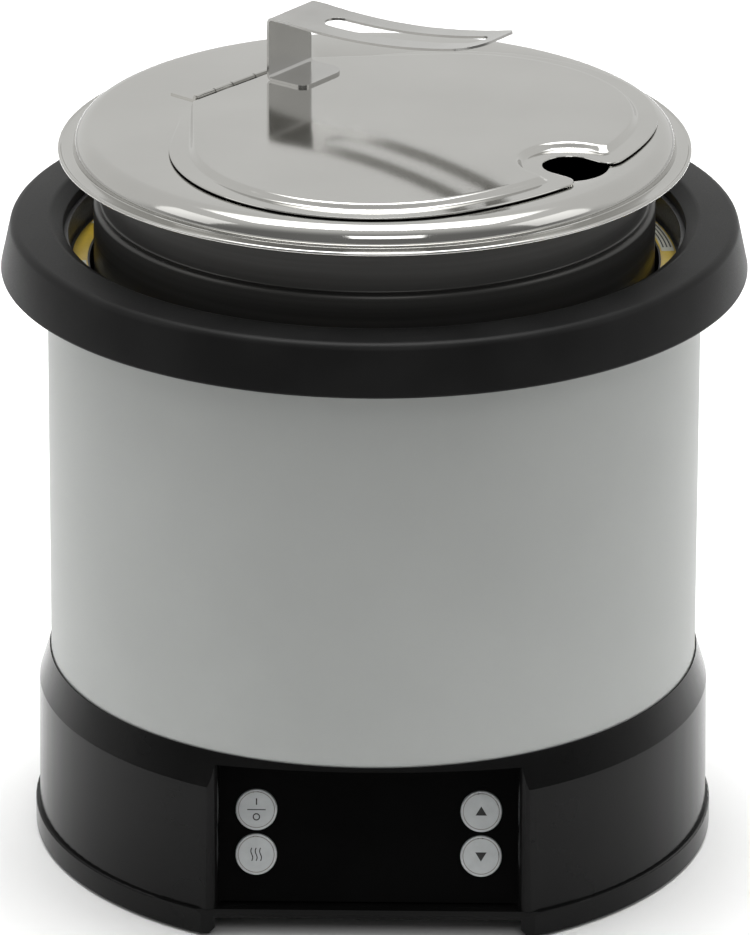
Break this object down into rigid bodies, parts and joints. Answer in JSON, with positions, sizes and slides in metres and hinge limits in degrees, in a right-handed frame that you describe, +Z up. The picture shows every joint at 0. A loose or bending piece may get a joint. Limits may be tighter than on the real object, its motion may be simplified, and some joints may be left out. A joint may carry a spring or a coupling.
{
  "type": "slow cooker",
  "caption": "Round countertop soup and slow cooker with a lift-out steel inset, a hinged-flap cover with ladle notch and a tilted push-button panel.",
  "frame": {"origin": "on the table under the middle of the round body", "axes": "+Z up, -Y to the front, where the control panel is, +X to the right seen from the front"},
  "size_m": [0.3428, 0.3428, 0.3876],
  "materials": {
    "gloss_black": "moulded, glossy",
    "panel_black": "smoked, high gloss",
    "collar_black": "fine satin texture",
    "body_silver": "satin silver grey",
    "foot_rubber": "matte",
    "screw_steel": "plain",
    "liner_black": "heat resistant, satin",
    "label_yellow": "printed film",
    "glass_black": "glass ceramic",
    "seal_rubber": "silicone",
    "copper": "enamelled copper",
    "tray_plastic": "heat resistant moulding",
    "standoff_brass": "turned",
    "ferrite": "sintered ferrite",
    "mica": "mica paper",
    "sensor_metal": "plain",
    "board_green": "solder mask",
    "sink_aluminium": "extruded",
    "component_black": "moulded",
    "fan_black": "moulded",
    "gland_black": "nylon",
    "button_grey": "satin light grey",
    "pot_steel": "spun and brushed",
    "cover_steel": "polished stainless steel",
    "handle_steel": "polished stainless steel"
  },
  "bodies": {
    "housing": {"base_housing": "gloss_black", "bottom_pan": "gloss_black", "panel_housing": "gloss_black", "control_panel": "panel_black", "top_collar": "collar_black", "collar_base": "collar_black", "body_shell": "body_silver", "rubber_feet": "foot_rubber", "base_screws": "screw_steel", "panel_screws": "screw_steel", "well_liner": "liner_black", "label_ring": "label_yellow", "glass_disc": "glass_black", "disc_seal": "seal_rubber", "induction_coil": "copper", "choke": "copper", "coil_tray": "tray_plastic", "coil_standoffs": "standoff_brass", "ferrite_bars": "ferrite", "mica_sheet": "mica", "temperature_sensor": "sensor_metal", "sensor_bracket": "sensor_metal", "power_board": "board_green", "control_board": "board_green", "heat_sink": "sink_aluminium", "filter_capacitors": "component_black", "display_module": "component_black", "tact_switches": "component_black", "fan_housing": "fan_black", "cable_gland": "gland_black", "gland_nut": "gland_black"},
    "fan": {"fan_rotor": "fan_black"},
    "power_button": {"button_power": "button_grey"},
    "mode_button": {"button_mode": "button_grey"},
    "up_button": {"button_up": "button_grey"},
    "down_button": {"button_down": "button_grey"},
    "inset": {"inset_pot": "pot_steel", "pot_base_disc": "pot_steel"},
    "cover": {"cover_plate": "cover_steel", "cover_guide": "cover_steel", "cover_hinge_leaf": "cover_steel", "hinge_pin": "cover_steel"},
    "flap": {"flap_plate": "cover_steel", "flap_hinge_leaf": "cover_steel", "flap_handle": "handle_steel"}
  },
  "joints": [
    {"name": "inset_lift", "type": "slide", "parent": "housing", "child": "inset", "axis": [0, 0, 1], "range_m": [0, 0.2]},
    {"name": "cover_lift", "type": "slide", "parent": "inset", "child": "cover", "axis": [0, 0, 1], "range_m": [0, 0.06]},
    {"name": "flap_hinge", "type": "hinge", "parent": "cover", "child": "flap", "pos_m": [-0.06211, 0.05433, 0.3453], "axis": [-0.6428, -0.766, 0], "range_deg": [0, 92]},
    {"name": "fan_spin", "type": "hinge", "parent": "housing", "child": "fan", "pos_m": [-0.062, 0.058, 0.03], "axis": [0, 0, 1], "continuous": true},
    {"name": "power_button_press", "type": "slide", "parent": "housing", "child": "power_button", "axis": [0, 0.9563, -0.2924], "range_m": [0, 0.0008], "stiffness_N_per_m": 2500, "springref_m": -0.0004},
    {"name": "mode_button_press", "type": "slide", "parent": "housing", "child": "mode_button", "axis": [0, 0.9563, -0.2924], "range_m": [0, 0.0008], "stiffness_N_per_m": 2500, "springref_m": -0.0004},
    {"name": "up_button_press", "type": "slide", "parent": "housing", "child": "up_button", "axis": [0, 0.9563, -0.2924], "range_m": [0, 0.0008], "stiffness_N_per_m": 2500, "springref_m": -0.0004},
    {"name": "down_button_press", "type": "slide", "parent": "housing", "child": "down_button", "axis": [0, 0.9563, -0.2924], "range_m": [0, 0.0008], "stiffness_N_per_m": 2500, "springref_m": -0.0004}
  ]
}
